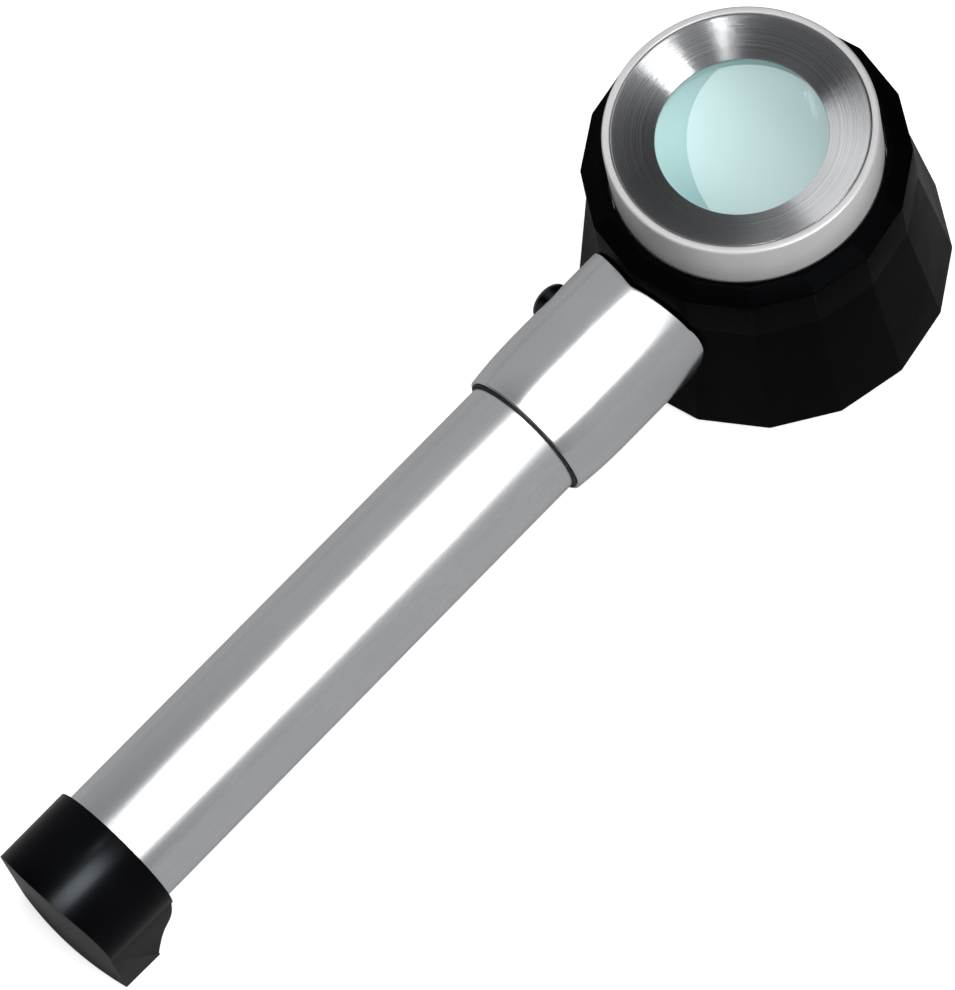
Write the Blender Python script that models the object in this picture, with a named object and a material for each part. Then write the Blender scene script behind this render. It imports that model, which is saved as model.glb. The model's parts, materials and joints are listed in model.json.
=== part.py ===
"""Illuminated hand loupe with a measuring reticle, a turning focus ring and a battery handle."""

import math

import bmesh
import bpy
from mathutils import Matrix, Vector

MM = 0.001

# ---- driving dimensions (mm) --------------------------------------------------------------

FACETS = 16                 # sides of the black housing
BASE_R = 25.45              # corner radius of the housing at the table
BASE_EDGE = 0.5             # small chamfer round the foot of the housing
WAIST_R = 22.15             # corner radius where the skirt starts to flare
WAIST_Z = 22.0
CROWN_R = 22.1              # corner radius at the top of the housing
CROWN_Z = 29.8
TOP_R = 19.6                # inner edge of the sloping top of the housing
TOP_Z = 30.8

BORE_R = 18.65              # bore the focus barrel turns in
BARREL_R = 18.35
BARREL_WALL_R = 17.3
BARREL_LOW = 19.6
BARREL_TOP = 38.6

EYE_R = 11.5                # opening of the dished eyepiece
DISH_TOP = 38.45
DISH_LOW = 36.5
DISH_UNDER = 35.9

LEDGE_LOW = 17.0            # shelf inside the housing
LEDGE_TOP = 18.4
CHAMBER_R = 17.2
RECESS_R = 21.7             # recess for the base plate
RECESS_TOP = 2.7

AXIS_Z = 17.4               # height at which the handle's axis meets the optical axis
SLOPE = math.radians(2.5)   # the handle runs down by this much towards its foot

COLLAR_R = 10.4
COLLAR_MOUTH_R = 9.9
COLLAR_END = 44.5
TUBE_R = 9.0
TUBE_BORE_R = 8.2
TUBE_START = 33.9
TUBE_END = 126.0
CAP_R = 10.1
CAP_START = 121.65
CAP_END = 133.2
FOOT_HALF = 10.0
FOOT_LENGTH = 6.4
# front of the foot, as (distance behind the mouth of the cap, depth below the axis)
FOOT_FRONT = ((0.4, 2.6), (0.8, 4.2), (1.6, 5.6), (2.7, 6.6), (3.5, 7.7), (4.2, 9.1),
              (4.9, 10.5))
BUTTON_AT = 28.4            # distance of the switch button from the optical axis

CELL_R = 5.25               # battery radius
CELL_BODY = 43.5
CELL_NUB = 1.0

FINE = 48
MEDIUM = 24
SMALL = 12


# ---- helpers ------------------------------------------------------------------------------

def clear_scene():
    for item in list(bpy.data.objects):
        bpy.data.objects.remove(item, do_unlink=True)


def make_material(name, colour, metallic=0.0, roughness=0.4, glassy=0.0):
    material = bpy.data.materials.new(name)
    material.use_nodes = True
    shader = material.node_tree.nodes["Principled BSDF"]
    shader.inputs["Base Color"].default_value = (*colour, 1.0)
    shader.inputs["Metallic"].default_value = metallic
    shader.inputs["Roughness"].default_value = roughness
    shader.inputs["Transmission Weight"].default_value = glassy
    return material


LOOKS = {
    "black": ((0.012, 0.012, 0.014), 0.0, 0.42, 0.0),
    "dull_black": ((0.02, 0.02, 0.022), 0.0, 0.6, 0.0),
    "satin": ((0.72, 0.73, 0.74), 1.0, 0.32, 0.0),
    "steel": ((0.55, 0.56, 0.57), 1.0, 0.3, 0.0),
    "brass": ((0.80, 0.60, 0.25), 1.0, 0.3, 0.0),
    "glass": ((0.95, 0.99, 1.0), 0.0, 0.03, 1.0),
    "white": ((0.85, 0.86, 0.86), 0.0, 0.5, 0.0),
    "grey": ((0.30, 0.31, 0.32), 0.0, 0.55, 0.0),
    "cell": ((0.08, 0.20, 0.14), 0.3, 0.35, 0.0),
    "green": ((0.05, 0.22, 0.10), 0.0, 0.4, 0.0),
}


def signed_volume(points, faces):
    total = 0.0
    for face in faces:
        first = points[face[0]]
        for second, third in zip(face[1:], face[2:]):
            total += first.dot(points[second].cross(points[third]))
    return total


def build(name, points, faces, look, place=None, crease=35.0):
    """Make one named object from points in millimetres, facing outwards."""
    points = [Vector(p) * MM for p in points]
    if signed_volume(points, faces) < 0.0:
        faces = [tuple(reversed(face)) for face in faces]
    mesh = bpy.data.meshes.new(name)
    mesh.from_pydata(points, [], faces)
    mesh.update()
    item = bpy.data.objects.new(name, mesh)
    bpy.context.scene.collection.objects.link(item)
    colour, metallic, roughness, glassy = LOOKS[look]
    mesh.materials.append(make_material(name + "_finish", colour, metallic, roughness, glassy))
    if place is not None:
        item.matrix_world = place
    smooth(item, crease)
    return item


def smooth(item, crease=35.0):
    item.data.shade_smooth()
    item.data.set_sharp_from_angle(angle=math.radians(crease))


def revolved(profile, steps, centre=(0.0, 0.0)):
    """Turn a closed outline of (radius, height) about a vertical line through centre."""
    points = []
    rings = []
    for radius, height in profile:
        if radius < 1e-6:
            rings.append([len(points)])
            points.append((centre[0], centre[1], height))
            continue
        ring = []
        for step in range(steps):
            angle = 2.0 * math.pi * step / steps
            ring.append(len(points))
            points.append((centre[0] + radius * math.cos(angle),
                           centre[1] + radius * math.sin(angle), height))
        rings.append(ring)
    faces = []
    for one, two in zip(rings, rings[1:] + rings[:1]):
        if len(one) == 1 and len(two) == 1:
            continue
        for step in range(steps):
            after = (step + 1) % steps
            if len(one) == 1:
                faces.append((one[0], two[after], two[step]))
            elif len(two) == 1:
                faces.append((one[step], one[after], two[0]))
            else:
                faces.append((one[step], one[after], two[after], two[step]))
    return points, faces


def lathe(name, profile, look, place=None, steps=MEDIUM, crease=35.0):
    points, faces = revolved(profile, steps)
    return build(name, points, faces, look, place, crease)


def lathe_row(name, profile, centres, look):
    """Several equal turned pieces, each its own numbered object."""
    for number, centre in enumerate(centres, 1):
        points, faces = revolved(profile, SMALL, centre)
        build(f"{name}_{number}", points, faces, look)


def lathe_set(name, profile, centres, look, place=None, steps=SMALL, crease=35.0):
    """Several equal turned solids in one object, used as a cutter."""
    points = []
    faces = []
    for centre in centres:
        more_points, more_faces = revolved(profile, steps, centre)
        start = len(points)
        points += more_points
        faces += [tuple(start + index for index in face) for face in more_faces]
    return build(name, points, faces, look, place, crease)


def tube_profile(outer, inner, low, high, edge=0.0):
    if edge <= 0.0:
        return [(outer, low), (outer, high), (inner, high), (inner, low)]
    return [(outer - edge, low), (outer, low + edge), (outer, high - edge), (outer - edge, high),
            (inner, high), (inner, low)]


def rod_profile(radius, low, high, edge=0.0):
    if edge <= 0.0:
        return [(0.0, low), (radius, low), (radius, high), (0.0, high)]
    return [(0.0, low), (radius - edge, low), (radius, low + edge), (radius, high - edge),
            (radius - edge, high), (0.0, high)]


def block(low, high):
    """The corners and faces of a box between two opposite corners."""
    xs, ys, zs = zip(low, high)
    points = [(x, y, z) for x in xs for y in ys for z in zs]
    faces = [(0, 1, 3, 2), (4, 6, 7, 5), (0, 4, 5, 1), (2, 3, 7, 6), (0, 2, 6, 4), (1, 5, 7, 3)]
    return points, faces


def combine(target, tool, operation="DIFFERENCE", crease=35.0):
    """Carry out one Boolean step, then drop the tool that was used for it."""
    modifier = target.modifiers.new("shape", "BOOLEAN")
    modifier.operation = operation
    modifier.solver = "EXACT"
    modifier.object = tool
    bpy.context.view_layer.update()
    graph = bpy.context.evaluated_depsgraph_get()
    result = bpy.data.meshes.new_from_object(target.evaluated_get(graph))
    target.modifiers.clear()
    material = target.data.materials[0]
    target.data = result
    result.materials.clear()
    result.materials.append(material)
    bpy.data.objects.remove(tool, do_unlink=True)
    work = bmesh.new()
    work.from_mesh(result)
    bmesh.ops.remove_doubles(work, verts=work.verts, dist=1e-7)
    bmesh.ops.dissolve_degenerate(work, dist=1e-7, edges=work.edges)
    work.to_mesh(result)
    work.free()
    smooth(target, crease)


def handle_frame():
    """Local Z runs out along the handle, local Y is up, from where it meets the optical axis."""
    along = Vector((0.0, -math.cos(SLOPE), -math.sin(SLOPE)))
    upward = Vector((0.0, -math.sin(SLOPE), math.cos(SLOPE)))
    frame = Matrix.Identity(4)
    for row in range(3):
        frame[row][0] = (1.0, 0.0, 0.0)[row]
        frame[row][1] = upward[row]
        frame[row][2] = along[row]
    frame[2][3] = AXIS_Z * MM
    return frame


def button_frame():
    """Local Z points out of the collar's left side, at the switch."""
    local = Matrix(((0.0, 0.0, -1.0, 0.0),
                    (0.0, 1.0, 0.0, 0.0),
                    (1.0, 0.0, 0.0, BUTTON_AT * MM),
                    (0.0, 0.0, 0.0, 1.0)))
    return handle_frame() @ local


# ---- the head -----------------------------------------------------------------------------

def facet_solid(levels):
    """Closed solid through even polygons given as (corner radius, height)."""
    points = []
    for radius, height in levels:
        for corner in range(FACETS):
            angle = 2.0 * math.pi * corner / FACETS
            points.append((radius * math.cos(angle), radius * math.sin(angle), height))
    faces = [tuple(range(FACETS))]
    for level in range(len(levels) - 1):
        for corner in range(FACETS):
            after = (corner + 1) % FACETS
            low = level * FACETS
            faces.append((low + corner, low + FACETS + corner, low + FACETS + after, low + after))
    top = (len(levels) - 1) * FACETS
    faces.append(tuple(top + corner for corner in reversed(range(FACETS))))
    return points, faces


def housing_levels(grow=0.0):
    return [(BASE_R - BASE_EDGE + grow, 0.0 - grow), (BASE_R + grow, BASE_EDGE),
            (WAIST_R + grow, WAIST_Z), (CROWN_R + grow, CROWN_Z), (TOP_R + grow, TOP_Z + grow)]


def make_housing():
    points, faces = facet_solid(housing_levels())
    housing = build("head_housing", points, faces, "black", crease=8.0)
    hollow = [(0.0, -1.0), (RECESS_R, -1.0), (RECESS_R, RECESS_TOP), (CHAMBER_R, RECESS_TOP),
              (CHAMBER_R, LEDGE_LOW), (13.6, LEDGE_LOW), (13.6, LEDGE_TOP), (BORE_R, LEDGE_TOP),
              (BORE_R, 33.0), (0.0, 33.0)]
    combine(housing, lathe("cut_bore", hollow, "black", steps=FINE), crease=8.0)
    neck = lathe("cut_neck", rod_profile(5.5, 18.5, 30.0), "black", handle_frame(), MEDIUM)
    combine(housing, neck, crease=8.0)
    wires = lathe_set("cut_wires", rod_profile(1.2, 15.0, 19.0), [(0.0, -3.0)], "black",
                      handle_frame(), SMALL)
    combine(housing, wires, crease=8.0)
    base_pilots = lathe_set("cut_pilots", rod_profile(1.05, 2.0, 7.2), base_screw_centres(), "black")
    combine(housing, base_pilots, crease=8.0)
    board_pilots = lathe_set("cut_board", rod_profile(0.95, 16.0, 18.2), board_screw_centres(),
                             "black")
    combine(housing, board_pilots, crease=8.0)


def around(radius, angles):
    return [(radius * math.cos(math.radians(a)), radius * math.sin(math.radians(a)))
            for a in angles]


def base_screw_centres():
    return around(19.2, (90.0, 210.0, 330.0))


def board_screw_centres():
    return around(14.9, (0.0, 180.0))


def make_focus_parts():
    barrel = [(BARREL_WALL_R, BARREL_LOW), (BARREL_R, BARREL_LOW), (BARREL_R, 22.4), (17.8, 22.4),
              (17.8, 23.8), (BARREL_R, 23.8), (BARREL_R, BARREL_TOP - 0.2),
              (BARREL_R - 0.2, BARREL_TOP), (BARREL_WALL_R + 0.15, BARREL_TOP),
              (BARREL_WALL_R, BARREL_TOP - 0.15)]
    lathe("focus_barrel", barrel, "satin", steps=FINE)
    bezel = [(17.15, DISH_UNDER), (17.15, DISH_TOP - 0.12), (17.03, DISH_TOP),
             (EYE_R + 0.15, DISH_LOW + 0.08), (EYE_R, DISH_LOW - 0.1), (EYE_R, DISH_UNDER)]
    lathe("eyepiece_bezel", bezel, "satin", steps=FINE)
    lathe("barrel_clip", tube_profile(18.6, 17.95, 22.6, 23.6), "steel", steps=FINE)


def sphere_edge(centre_height, radius, outer, upward, steps=3):
    """Points of a lens surface from its middle to its edge, bulging up or down."""
    points = []
    for step in range(steps + 1):
        across = outer * step / steps
        sag = radius - math.sqrt(radius * radius - across * across)
        points.append((across, centre_height - sag if upward else centre_height + sag))
    return points


def make_lenses():
    top = sphere_edge(36.0, 40.0, 14.1, True)
    bottom = sphere_edge(30.6, 77.0, 14.1, False)
    lathe("eye_lens", bottom + list(reversed(top)), "glass", steps=36)
    top = sphere_edge(30.0, 110.0, 14.1, True)
    bottom = sphere_edge(26.7, 110.0, 14.1, False)
    lathe("field_lens", bottom + list(reversed(top)), "glass", steps=36)
    lathe("lens_spacer", tube_profile(14.1, 13.1, 29.35, 31.5), "dull_black")
    lathe("cell_retainer", tube_profile(14.1, 12.95, 26.1, 27.2), "dull_black")
    cell = [(14.3, 21.3), (16.95, 21.3), (16.95, 34.7), (12.9, 34.7), (12.9, 34.05), (14.3, 34.05)]
    lathe("lens_cell", cell, "dull_black", steps=FINE)


def make_guide():
    sleeve = [(12.9, 18.5), (17.0, 18.5), (17.0, 19.3), (14.0, 19.3), (14.0, 24.0), (12.9, 24.0)]
    guide = lathe("guide_sleeve", sleeve, "dull_black", steps=FINE)
    points, faces = block((12.0, -1.05, 20.1), (15.0, 1.05, 26.0))
    combine(guide, build("cut_slot", points, faces, "black"))
    points, faces = block((13.15, -0.85, 22.2), (14.2, 0.85, 23.8))
    build("guide_key", points, faces, "brass")


def make_lighting():
    board = lathe("led_board", tube_profile(16.9, 12.8, 15.3, 16.5), "green")
    holes = lathe_set("cut_holes", rod_profile(1.0, 14.0, 18.0), board_screw_centres(), "black")
    combine(board, holes)
    dome = [(0.0, 11.3)]
    for step in range(1, 4):
        angle = 0.5 * math.pi * step / 3
        dome.append((1.5 * math.sin(angle), 12.8 - 1.5 * math.cos(angle)))
    dome += [(1.5, 14.2), (1.75, 14.2), (1.75, 15.15), (0.0, 15.15)]
    lathe_row("white_led", dome, around(14.9, (45.0, 135.0, 225.0, 315.0)), "glass")
    screw = [(0.0, 14.6), (1.6, 14.6), (1.7, 14.7), (1.7, 15.2), (0.8, 15.2), (0.8, 18.05),
             (0.0, 18.05)]
    lathe_row("board_screw", screw, board_screw_centres(), "steel")


def make_base():
    plate_profile = [(14.15, 0.4), (21.2, 0.4), (21.4, 0.6), (21.4, 2.6), (12.6, 2.6),
                     (12.6, 2.35), (14.15, 2.35)]
    plate = lathe("base_plate", plate_profile, "black", steps=FINE)
    counterbore = [(0.0, 0.0), (2.1, 0.0), (2.1, 1.5), (1.25, 1.5), (1.25, 4.0), (0.0, 4.0)]
    combine(plate, lathe_set("cut_seats", counterbore, base_screw_centres(), "black"))
    head = [(0.0, 0.75), (0.75, 0.75), (0.75, 0.45), (1.7, 0.45), (1.95, 0.7), (1.95, 1.45),
            (0.95, 1.45), (0.95, 6.9), (0.0, 6.9)]
    lathe_row("base_screw", head, base_screw_centres(), "steel")
    lathe("reticle_glass", rod_profile(13.9, 0.75, 2.25, 0.1), "glass", steps=36)
    lathe("reticle_ring", tube_profile(13.9, 10.75, 0.2, 0.65, 0.1), "satin", steps=48)


# ---- the handle ---------------------------------------------------------------------------

def make_collar():
    frame = handle_frame()
    outer = [(COLLAR_R, 15.0), (COLLAR_R, 35.6)]
    for step in range(1, 5):
        share = step / 4.0
        outer.append((COLLAR_R - (COLLAR_R - COLLAR_MOUTH_R) * share ** 2.2, 35.6 + 8.7 * share))
    outer.append((COLLAR_MOUTH_R - 0.2, COLLAR_END))
    inner = [(9.25, COLLAR_END), (9.25, 33.4), (8.2, 33.4), (8.2, 23.6), (5.5, 23.6), (5.5, 15.0)]
    collar = lathe("collar", outer + inner, "satin", frame, FINE)
    points, faces = facet_solid(housing_levels(0.2))
    combine(collar, build("cut_saddle", points, faces, "black"))
    hole = lathe("cut_button", rod_profile(3.15, 6.0, 14.0), "black", button_frame(), MEDIUM)
    combine(collar, hole)
    lathe("neck_bush", tube_profile(5.3, 3.4, 18.9, 23.4, 0.3), "dull_black", frame)
    lathe("seam_ring", tube_profile(9.6, 9.1, 44.6, 45.0, 0.08), "dull_black", frame, 48)


def make_switch():
    frame = handle_frame()
    button = [(0.0, 6.2), (3.6, 6.2), (3.6, 6.9), (2.9, 6.9), (2.9, 10.9)]
    for step in range(1, 5):
        angle = 0.5 * math.pi * step / 4
        button.append((2.9 * math.cos(angle), 10.9 + 1.5 * math.sin(angle)))
    button[-1] = (0.0, 12.4)
    lathe("switch_button", button, "black", button_frame(), MEDIUM)
    points, faces = block((-5.2, -3.0, 25.6), (-1.8, 3.0, 31.2))
    build("switch_body", points, faces, "dull_black", frame)
    lathe("switch_board", rod_profile(7.9, 32.25, 33.35), "green", frame)
    lathe("front_contact", [(0.0, 33.5), (3.6, 33.5), (3.6, 33.8), (1.6, 34.05), (1.6, 35.3),
                            (0.0, 35.3)], "brass", frame, MEDIUM)


def make_tube():
    frame = handle_frame()
    lathe("handle_tube", tube_profile(TUBE_R, TUBE_BORE_R, TUBE_START, TUBE_END, 0.2), "satin",
          frame, FINE)
    lathe("battery_liner", tube_profile(8.0, 5.6, 34.3, 117.5, 0.2), "grey", frame)


def battery_profile(start):
    low = start + CELL_NUB
    high = low + CELL_BODY
    return [(0.0, start), (1.9, start), (1.9, low), (4.9, low), (CELL_R, low + 0.4),
            (CELL_R, high - 0.3), (CELL_R - 0.4, high), (0.0, high)]


def make_batteries():
    frame = handle_frame()
    lathe("battery_1", battery_profile(35.6), "cell", frame, MEDIUM)
    lathe("battery_2", battery_profile(80.35), "cell", frame, MEDIUM)


def coil(turns, low, high, start_radius, end_radius, wire, sides=6, per_turn=12):
    """A closed wire wound into a cone, with short flat ends."""
    count = int(turns * per_turn)
    points = []
    for index in range(count + 1):
        share = index / count
        angle = 2.0 * math.pi * turns * share
        radius = start_radius + (end_radius - start_radius) * share
        height = low + (high - low) * share
        out = Vector((math.cos(angle), math.sin(angle), 0.0))
        middle = out * radius + Vector((0.0, 0.0, height))
        for side in range(sides):
            turn = 2.0 * math.pi * side / sides
            spot = middle + out * (wire * math.cos(turn)) + Vector((0, 0, wire * math.sin(turn)))
            points.append(tuple(spot))
    faces = [tuple(range(sides))]
    for index in range(count):
        for side in range(sides):
            after = (side + 1) % sides
            low_ring = index * sides
            faces.append((low_ring + side, low_ring + sides + side, low_ring + sides + after,
                          low_ring + after))
    faces.append(tuple(count * sides + side for side in reversed(range(sides))))
    return points, faces


def sole_height(distance):
    """How far below the handle's axis the table lies, at a distance along the handle."""
    return (AXIS_Z - distance * math.sin(SLOPE)) / math.cos(SLOPE)


def foot_solid():
    """The squared foot under the cap, as a side outline carried across its width."""
    toe = CAP_END - FOOT_LENGTH
    beyond = CAP_END + 2.0
    outline = [(CAP_START + 0.35, 0.6)]
    for behind, depth in FOOT_FRONT:
        outline.append((CAP_START + behind, -depth))
    outline += [(toe, -sole_height(toe)), (beyond, -sole_height(beyond)), (beyond, 0.6)]
    points = []
    for side in (-FOOT_HALF, FOOT_HALF):
        for along, height in outline:
            points.append((side, height, along))
    count = len(outline)
    faces = [tuple(range(count)), tuple(reversed(range(count, 2 * count)))]
    for index in range(count):
        after = (index + 1) % count
        faces.append((index, count + index, count + after, after))
    return points, faces


def make_cap():
    frame = handle_frame()
    profile = [(0.0, CAP_START), (CAP_R - 0.15, CAP_START), (CAP_R, CAP_START + 0.15),
               (CAP_R, CAP_END + 3.0), (0.0, CAP_END + 3.0)]
    cap = lathe("end_cap", profile, "black", frame, FINE)
    points, faces = foot_solid()
    combine(cap, build("cut_foot", points, faces, "black", frame), "UNION")
    points, faces = block((-30.0, -30.0, CAP_END), (30.0, 30.0, CAP_END + 20.0))
    combine(cap, build("cut_end", points, faces, "black", frame))
    hollow = [(0.0, CAP_START - 1.0), (9.32, CAP_START - 1.0), (9.32, 123.05), (9.62, 123.05),
              (9.62, 124.25), (9.32, 124.25), (9.32, 126.4), (6.4, 126.4), (6.4, 130.2),
              (0.0, 130.2)]
    combine(cap, lathe("cut_cap", hollow, "black", frame, FINE))
    lathe("cap_seal", tube_profile(9.55, 9.1, 123.2, 124.1, 0.12), "dull_black", frame, 48)
    lathe("cap_contact", rod_profile(6.1, 129.6, 130.0), "steel", frame, MEDIUM)
    points, faces = coil(3.5, 125.4, 129.0, 3.0, 5.0, 0.35)
    build("battery_spring", points, faces, "steel", frame, crease=60.0)


def main():
    clear_scene()
    make_housing()
    make_focus_parts()
    make_lenses()
    make_guide()
    make_lighting()
    make_base()
    make_collar()
    make_switch()
    make_tube()
    make_batteries()
    make_cap()


main()
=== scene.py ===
"""Studio scene of an illuminated measuring loupe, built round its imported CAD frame."""

import json
import math

import bmesh
import bpy
from mathutils import Matrix, Vector


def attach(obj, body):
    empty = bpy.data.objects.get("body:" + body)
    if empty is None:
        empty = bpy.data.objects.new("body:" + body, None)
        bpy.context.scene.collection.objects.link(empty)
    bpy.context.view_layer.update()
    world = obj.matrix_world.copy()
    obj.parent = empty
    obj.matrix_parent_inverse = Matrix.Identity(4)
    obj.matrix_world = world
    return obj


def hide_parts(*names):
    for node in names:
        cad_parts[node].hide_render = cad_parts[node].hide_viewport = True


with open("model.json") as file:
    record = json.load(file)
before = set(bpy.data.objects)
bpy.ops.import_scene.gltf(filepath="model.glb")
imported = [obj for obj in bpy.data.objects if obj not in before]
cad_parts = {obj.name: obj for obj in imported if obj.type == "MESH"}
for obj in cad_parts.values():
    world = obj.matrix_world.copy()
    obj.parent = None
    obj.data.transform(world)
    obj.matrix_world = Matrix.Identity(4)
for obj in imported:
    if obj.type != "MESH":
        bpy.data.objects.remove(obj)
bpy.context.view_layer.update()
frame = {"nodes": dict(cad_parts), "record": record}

MM = 0.001

# ---- dimensions in mm, nearly all repeated from the CAD ------------------------------------

FACETS = 16                 # sides of the black housing
# the housing from table to top, as (corner radius, height)
HOUSING_LEVELS = ((24.95, 0.0), (25.45, 0.5), (22.15, 22.0), (22.1, 29.8), (19.6, 30.8))
BORE_R = 18.65              # bore the focus barrel turns in
CHAMBER_R = 17.2
RECESS_R = 21.7             # recess for the base plate
RECESS_TOP = 2.7
LEDGE_R = 13.6              # opening of the shelf inside the housing
LEDGE_LOW = 17.0
LEDGE_TOP = 18.4
NECK_R = 5.5                # passage from the head into the handle
BARREL_R = 18.35
BARREL_WALL_R = 17.3
BARREL_LOW = 19.6
BARREL_TOP = 38.6
CLIP_LOW = 22.4             # groove for the clip that holds the barrel
CLIP_TOP = 23.8
CLIP_R = 17.8
EYE_R = 11.5                # opening of the eyepiece
DISH_R = 17.15              # outside of the dished eyepiece
DISH_RIM_R = 17.0
DISH_TOP = 38.45
DISH_LOW = 36.5
DISH_UNDER = 35.9
LENS_R = 14.1
AXIS_Z = 17.4               # height at which the handle's axis meets the optical axis
SLOPE = math.radians(2.5)   # the handle runs down by this much towards its foot
COLLAR_R = 10.4
COLLAR_MOUTH_R = 9.9
COLLAR_STRAIGHT = 35.4      # from here the collar tapers to its mouth
COLLAR_END = 44.5
COLLAR_GAP = 0.22           # clearance between the collar and the housing
COLLAR_BORE_R = 9.25
SHOULDER = 33.4             # step in the bore of the collar
POCKET_START = 23.6         # head end of the room for the switch
SEAM_R = 9.5
TUBE_R = 9.0
TUBE_BORE_R = 8.2
TUBE_START = 33.9
TUBE_END = 126.0
CAP_R = 10.1
CAP_START = 121.65
CAP_END = 133.2
FOOT_HALF = 10.0
FOOT_LENGTH = 6.4
CAP_BOW = 0.8               # how far the end of the cap swells beyond a flat end
CAP_BORE_R = 9.32
CAP_BORE_END = 126.4
SEAL_GROOVE_R = 9.62        # groove for the seal inside the cap
SEAL_LOW = 123.05
SEAL_TOP = 124.25
SPRING_ROOM_R = 6.4         # room for the spring behind the bore
SPRING_ROOM_END = 130.2
# front of the foot, as (distance behind the mouth of the cap, depth below the axis)
FOOT_FRONT = ((0.4, 2.6), (0.6, 3.5), (0.85, 4.3), (1.2, 5.1), (1.7, 5.75), (2.3, 6.3),
              (2.8, 6.75), (3.3, 7.4), (3.8, 8.2), (4.3, 9.2), (4.8, 10.25), (5.15, 11.1))
BUTTON_AT = 28.4            # distance of the switch button from the optical axis
BUTTON_R = 2.9
BUTTON_HOLE_R = 3.12
WINDOW_HALF = 5.0           # half the side of the reticle's clear window

ROUND = 192                 # segments of the large turned pieces
ROUND_SMALL = 96
CREASE = 35.0               # edges that turn by more than this many degrees look sharp
EDGE_BEVEL = 0.22


# ---- geometry helpers ----------------------------------------------------------------------

def fillet(profile, radii, steps=5):
    """Round the corners of a closed outline; radii gives one radius per corner."""
    points = []
    count = len(profile)
    for index in range(count):
        here = Vector(profile[index])
        radius = radii[index]
        if radius <= 0.0:
            points.append(tuple(here))
            continue
        back = (Vector(profile[index - 1]) - here).normalized()
        ahead = (Vector(profile[(index + 1) % count]) - here).normalized()
        half = 0.5 * math.acos(max(-1.0, min(1.0, back.dot(ahead))))
        reach = radius / math.tan(half)
        centre = here + (back + ahead).normalized() * (radius / math.sin(half))
        first = here + back * reach - centre
        last = here + ahead * reach - centre
        sweep = math.atan2(first.x * last.y - first.y * last.x, first.dot(last))
        for step in range(steps + 1):
            turn = sweep * step / steps
            spot = Vector((first.x * math.cos(turn) - first.y * math.sin(turn),
                           first.x * math.sin(turn) + first.y * math.cos(turn)))
            points.append(tuple(centre + spot))
    return points


def revolved(profile, steps):
    """Turn a closed outline of (radius, height) about the local Z axis."""
    points = []
    rings = []
    for radius, height in profile:
        if radius < 1e-6:
            rings.append([len(points)])
            points.append((0.0, 0.0, height))
            continue
        ring = []
        for step in range(steps):
            angle = 2.0 * math.pi * step / steps
            ring.append(len(points))
            points.append((radius * math.cos(angle), radius * math.sin(angle), height))
        rings.append(ring)
    faces = []
    for one, two in zip(rings, rings[1:] + rings[:1]):
        if len(one) == 1 and len(two) == 1:
            continue
        for step in range(steps):
            after = (step + 1) % steps
            if len(one) == 1:
                faces.append((one[0], two[after], two[step]))
            elif len(two) == 1:
                faces.append((one[step], one[after], two[0]))
            else:
                faces.append((one[step], one[after], two[after], two[step]))
    return points, faces


def signed_volume(points, faces):
    """Six times the volume inside the faces, negative when they face inwards."""
    total = 0.0
    for face in faces:
        first = points[face[0]]
        for second, third in zip(face[1:], face[2:]):
            total += first.dot(points[second].cross(points[third]))
    return total


def smooth(piece, crease):
    """Shade a piece smooth, with sharp edges above the crease angle."""
    piece.data.shade_smooth()
    piece.data.set_sharp_from_angle(angle=math.radians(crease))


def make_piece(name, points, faces, place=None):
    """A named object in world coordinates from points in millimetres."""
    place = place or Matrix.Identity(4)
    world = [place @ (Vector(p) * MM) for p in points]
    if signed_volume(world, faces) < 0.0:
        faces = [tuple(reversed(face)) for face in faces]
    mesh = bpy.data.meshes.new(name)
    mesh.from_pydata(world, [], faces)
    mesh.update()
    piece = bpy.data.objects.new(name, mesh)
    bpy.context.scene.collection.objects.link(piece)
    smooth(piece, CREASE)
    return piece


def lathe(name, profile, place=None, steps=ROUND):
    points, faces = revolved(profile, steps)
    return make_piece(name, points, faces, place)


def block(low, high):
    """Points and faces of a box between two corners."""
    xs, ys, zs = zip(low, high)
    points = [(x, y, z) for x in xs for y in ys for z in zs]
    faces = [(0, 1, 3, 2), (4, 6, 7, 5), (0, 4, 5, 1), (2, 3, 7, 6), (0, 2, 6, 4), (1, 5, 7, 3)]
    return points, faces


def apply_modifiers(piece):
    """Replace a piece's mesh with what its modifiers make of it."""
    bpy.context.view_layer.update()
    graph = bpy.context.evaluated_depsgraph_get()
    result = bpy.data.meshes.new_from_object(piece.evaluated_get(graph))
    piece.modifiers.clear()
    piece.data = result


def combine(target, tool, operation="DIFFERENCE"):
    """Cut a tool out of the target, or join it on, and merge the specks that this leaves."""
    modifier = target.modifiers.new("shape", "BOOLEAN")
    modifier.operation = operation
    modifier.solver = "EXACT"
    modifier.object = tool
    apply_modifiers(target)
    bpy.data.objects.remove(tool, do_unlink=True)
    work = bmesh.new()
    work.from_mesh(target.data)
    bmesh.ops.remove_doubles(work, verts=work.verts, dist=2e-7)
    bmesh.ops.dissolve_degenerate(work, dist=2e-7, edges=work.edges)
    work.to_mesh(target.data)
    work.free()


def bevel(piece, angle):
    """Round the edges that turn by more than an angle."""
    modifier = piece.modifiers.new("edge", "BEVEL")
    modifier.width = EDGE_BEVEL * MM
    modifier.segments = 3
    modifier.limit_method = "ANGLE"
    modifier.angle_limit = math.radians(angle)
    modifier.use_clamp_overlap = True
    apply_modifiers(piece)


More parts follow.
